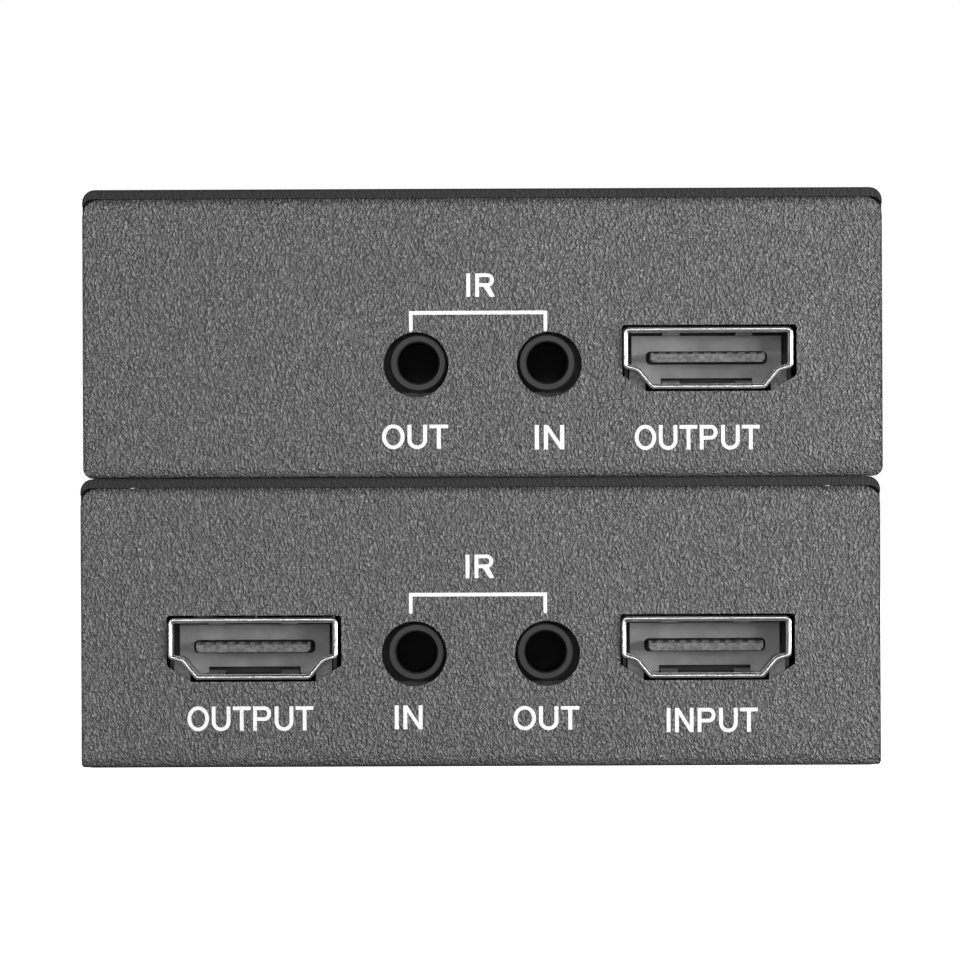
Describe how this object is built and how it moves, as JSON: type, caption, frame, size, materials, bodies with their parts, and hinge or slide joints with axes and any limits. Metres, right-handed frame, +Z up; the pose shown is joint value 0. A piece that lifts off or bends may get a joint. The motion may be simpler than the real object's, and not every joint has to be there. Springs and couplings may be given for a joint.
{
  "type": "video extender set",
  "caption": "Video extender set: a receiver box standing on its transmitter box, both of folded powder-coated sheet with video, infrared, network and power sockets.",
  "frame": {"origin": "under the middle of the stack, on the surface it stands on", "axes": "+Z up, -Y out of the front panels with the video ports, +X to the right seen from the front"},
  "size_m": [0.0702, 0.0846, 0.0506],
  "materials": {
    "powder_coat": "fine textured powder coat, charcoal",
    "nickel_shell": "bright nickel",
    "steel": "zinc plated",
    "brass_fittings": "turned",
    "contacts": "gold flash",
    "black_plastic": "moulded, satin",
    "port_plastic": "moulded, satin",
    "board": "green solder mask",
    "chip_resin": "moulded resin",
    "aluminium": "satin",
    "light_window": "tinted diffusing resin"
  },
  "bodies": {
    "transmitter": {"transmitter_base_tray": "powder_coat", "transmitter_top_cover": "powder_coat", "transmitter_cover_screws": "steel", "transmitter_standoffs": "brass_fittings", "transmitter_board_screws": "steel", "transmitter_circuit_board": "board", "transmitter_left_jack": "black_plastic", "transmitter_left_jack_springs": "contacts", "transmitter_right_jack": "black_plastic", "transmitter_right_jack_springs": "contacts", "transmitter_network_shield": "nickel_shell", "transmitter_network_insulator": "black_plastic", "transmitter_network_contacts": "contacts", "transmitter_network_lights": "light_window", "transmitter_power_jack": "black_plastic", "transmitter_power_pin": "nickel_shell", "transmitter_power_spring": "steel", "transmitter_power_light": "light_window", "transmitter_light_holder": "black_plastic", "transmitter_main_chip": "chip_resin", "transmitter_heat_sink": "aluminium", "transmitter_line_transformer": "chip_resin", "transmitter_capacitors": "aluminium", "transmitter_small_parts": "chip_resin", "transmitter_input_shell": "nickel_shell", "transmitter_input_insulator": "port_plastic", "transmitter_input_contacts": "contacts", "transmitter_loop_shell": "nickel_shell", "transmitter_loop_insulator": "port_plastic", "transmitter_loop_contacts": "contacts"},
    "receiver": {"receiver_base_tray": "powder_coat", "receiver_top_cover": "powder_coat", "receiver_cover_screws": "steel", "receiver_standoffs": "brass_fittings", "receiver_board_screws": "steel", "receiver_circuit_board": "board", "receiver_left_jack": "black_plastic", "receiver_left_jack_springs": "contacts", "receiver_right_jack": "black_plastic", "receiver_right_jack_springs": "contacts", "receiver_network_shield": "nickel_shell", "receiver_network_insulator": "black_plastic", "receiver_network_contacts": "contacts", "receiver_network_lights": "light_window", "receiver_power_jack": "black_plastic", "receiver_power_pin": "nickel_shell", "receiver_power_spring": "steel", "receiver_power_light": "light_window", "receiver_light_holder": "black_plastic", "receiver_main_chip": "chip_resin", "receiver_heat_sink": "aluminium", "receiver_line_transformer": "chip_resin", "receiver_capacitors": "aluminium", "receiver_small_parts": "chip_resin", "receiver_output_shell": "nickel_shell", "receiver_output_insulator": "port_plastic", "receiver_output_contacts": "contacts"}
  },
  "joints": [
    {"name": "receiver_lift", "type": "slide", "parent": "transmitter", "child": "receiver", "axis": [0, 0, 1], "range_m": [0, 0.06]}
  ]
}
